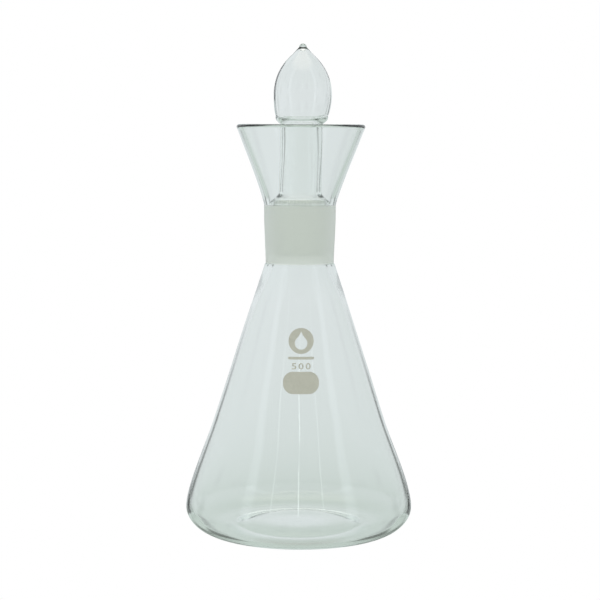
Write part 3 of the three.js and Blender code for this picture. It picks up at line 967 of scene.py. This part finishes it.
# What lies behind the glass as it is seen from the front, a front corner, one side and a
# back corner, as (side, height). The dark flags stand round these.
BEHIND = ((180, -5), (135, -26), (90, -5), (45, -16))
FLAG_NEAR, FLAG_FAR = 23, 33  # a flag's edges, to both sides of what lies behind
FLAG_HALF_HEIGHT = 5.5


def flag_zones():
    """Where the dark flags stand that draw the edges of the glass from each of its sides."""
    zones = []
    for side, height in BEHIND:
        for low, high in ((side - FLAG_FAR, side - FLAG_NEAR), (side + FLAG_NEAR, side + FLAG_FAR)):
            if low < 180:
                zones.append((low, high, height - FLAG_HALF_HEIGHT, height + FLAG_HALF_HEIGHT))
    return zones + [HEEL_ZONE]


def make_studio():
    """A pale tent of soft light round the object, darker below and in front, with a tall
    box of light on each side, thin bright strips in front, a bright top, and dark flags
    that draw the edges of the glass. The camera sees plain white beyond the glass, and
    everything seen in or through the glass sees the tent."""
    world = bpy.data.worlds.new("studio")
    bpy.context.scene.world = world
    shader = Shader(world)
    direction = shader.node("ShaderNodeTexCoord").outputs["Generated"]
    axes = shader.node("ShaderNodeSeparateXYZ", {"Vector": direction})
    x, y, z = axes.outputs[0], axes.outputs[1], axes.outputs[2]
    to_degrees = 180 / math.pi
    backward = shader.math("MULTIPLY", y, -1.0)
    turn = shader.math("MULTIPLY", shader.math("ARCTAN2", x, backward), to_degrees)
    side = shader.math("ABSOLUTE", turn)
    height = shader.math("MULTIPLY", shader.math("ARCSINE", z), to_degrees)

    def zone(side_low, side_high, low, high):
        across = shader.window(side, side_low, side_high, SOFT)
        return shader.math("MULTIPLY", across, shader.window(height, low, high, SOFT))

    tent = shader.mix(shader.ramp(height, *PALER_HEIGHTS), TENT_LOW, TENT_HIGH)
    tent = shader.mix(shader.ramp(x, *RIGHT_REACH, 0.0, RIGHT_SHADE), tent, TENT_RIGHT)
    upper = shader.ramp(height, *FRONT_HEIGHTS)
    facing = shader.ramp(side, *FRONT_SIDES, 1.0, FRONT_LEFT_OVER)
    front = shader.math("MULTIPLY", upper, facing)
    tent = shader.mix(front, tent, TENT_FRONT)
    tent = shader.mix(zone(*BOX_ZONE), tent, SIDE_BOX)
    tent = shader.mix(shader.ramp(height, *TOP_HEIGHTS), tent, OVERHEAD)
    tent = shader.mix(shader.ramp(height, *UNDER_HEIGHTS, 1.0, 0.0), tent, UNDERNEATH)

    tall = shader.window(height, *STRIP_HEIGHTS, STRIP_END_SOFT)
    for strip_turn, half_width, strength in STRIPS:
        low, high = strip_turn - half_width, strip_turn + half_width
        across = shader.window(turn, low, high, STRIP_SOFT)
        strip = shader.math("MULTIPLY", across, tall)
        tent = shader.mix(shader.math("MULTIPLY", strip, strength), tent, STRIP_LIGHT)

    for flag_zone in flag_zones():
        tent = shader.mix(shader.math("MULTIPLY", zone(*flag_zone), FLAG_SHARE), tent, FLAG)

    seen = shader.node("ShaderNodeLightPath").outputs["Is Camera Ray"]
    color = shader.mix(seen, tent, WHITE)
    background = shader.node("ShaderNodeBackground", {"Color": color, "Strength": 1.0})
    output = shader.node("ShaderNodeOutputWorld")
    shader.feed(output, "Surface", background.outputs[0])


SQUARE = ((-1, -1), (1, -1), (1, 1), (-1, 1))
FLOOR_HALF = 2.0
FLOOR_Z = -0.2 * MM  # just under the ring that the flask stands on


def make_floor():
    """White to the camera, and clear to the glass, which sees the tent below the horizon."""
    material = bpy.data.materials.new("floor")
    shader = Shader(material)
    seen = shader.node("ShaderNodeLightPath").outputs["Is Camera Ray"]
    paper = shader.node("ShaderNodeEmission", {"Color": WHITE, "Strength": 1.0})
    clear = shader.node("ShaderNodeBsdfTransparent")
    mixed = shader.node("ShaderNodeMixShader")
    shader.feed(mixed, 0, seen)
    shader.feed(mixed, 1, clear.outputs[0])
    shader.feed(mixed, 2, paper.outputs[0])
    output = shader.node("ShaderNodeOutputMaterial")
    shader.feed(output, "Surface", mixed.outputs[0])
    data = bpy.data.meshes.new("floor")
    corners = [(side_x * FLOOR_HALF, side_y * FLOOR_HALF, FLOOR_Z) for side_x, side_y in SQUARE]
    data.from_pydata(corners, [], [(0, 1, 2, 3)])
    data.materials.append(material)
    floor = bpy.data.objects.new("floor", data)
    bpy.context.scene.collection.objects.link(floor)


def set_view():
    """Plain colours, and enough bounces to see through every wall of the glass."""
    scene = bpy.context.scene
    scene.view_settings.view_transform = "Standard"
    scene.view_settings.look = "None"
    scene.view_settings.exposure = 0.0
    scene.view_settings.gamma = 1.0
    scene.cycles.max_bounces = 40
    scene.cycles.transmission_bounces = 32
    scene.cycles.diffuse_bounces = 24
    scene.cycles.glossy_bounces = 16
    scene.cycles.transparent_max_bounces = 16


make_camera()
blown_glass = glass()
make_flask(blown_glass)
make_stopper(blown_glass)
make_printing(enamel())
make_studio()
make_floor()
set_view()
